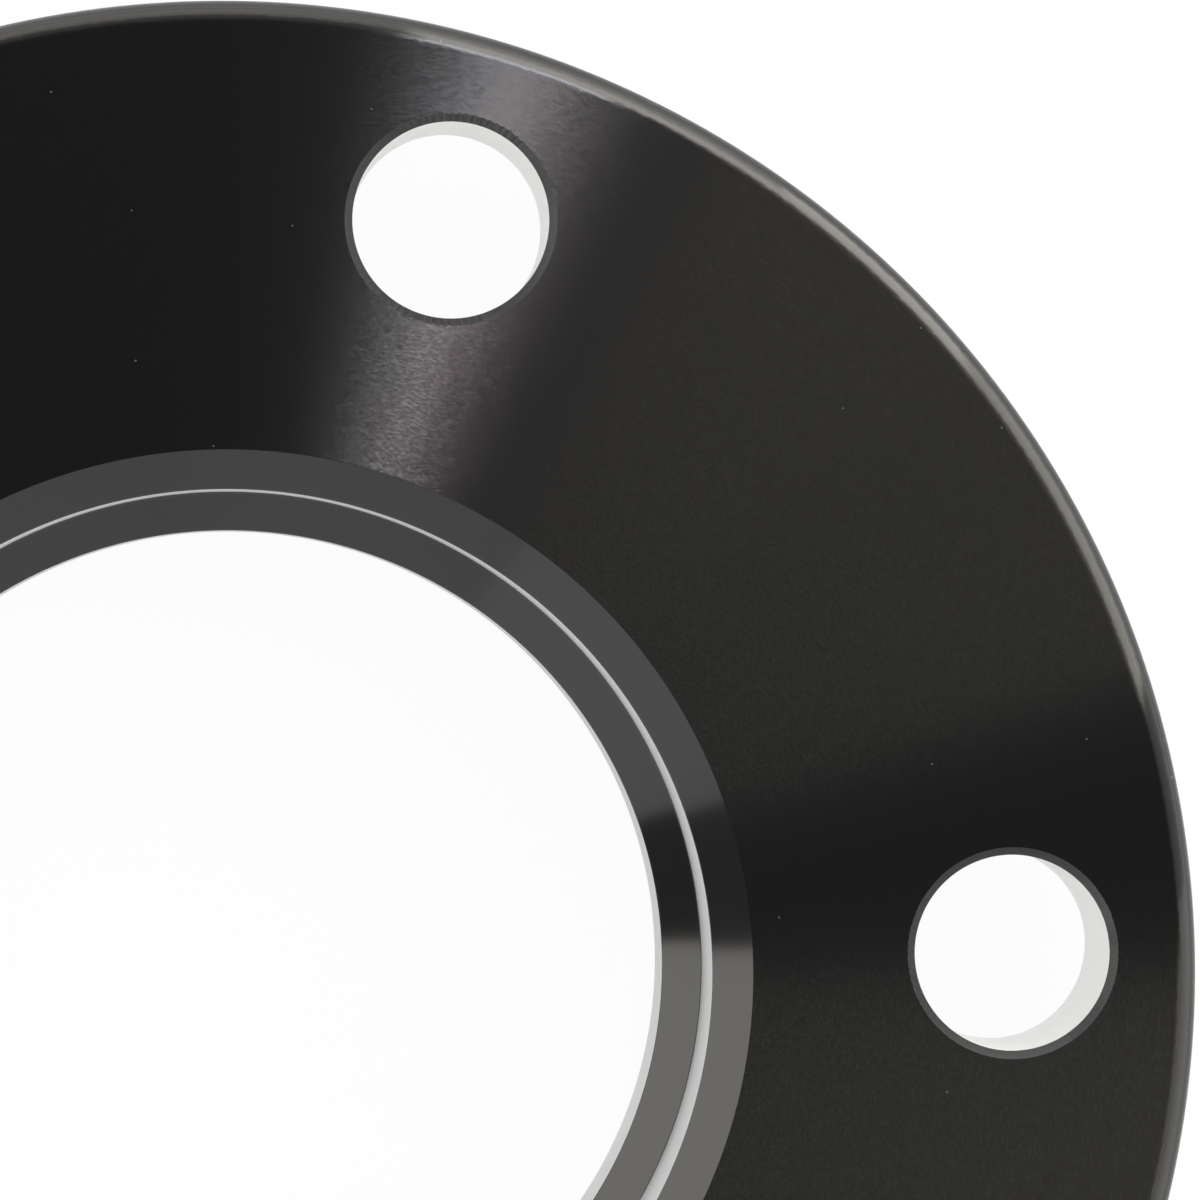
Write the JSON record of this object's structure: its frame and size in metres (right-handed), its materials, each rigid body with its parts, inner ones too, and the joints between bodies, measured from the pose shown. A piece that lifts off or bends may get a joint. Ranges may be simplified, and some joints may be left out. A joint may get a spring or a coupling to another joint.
{
  "type": "wheel spacer",
  "caption": "Round black anodised aluminium wheel spacer: a thick drilled plate with a stepped hub bore on one face and a centring lip on the other.",
  "frame": {"origin": "on the axis, at the end of the centring lip that the part stands on", "axes": "+Z along the axis, out of the hub face; +X through the centre of one bolt hole"},
  "size_m": [0.1484, 0.1484, 0.023],
  "materials": {
    "black_anodised": "fine-turned and black anodised, satin"
  },
  "bodies": {
    "root": {"spacer": "black_anodised"}
  },
  "joints": []
}
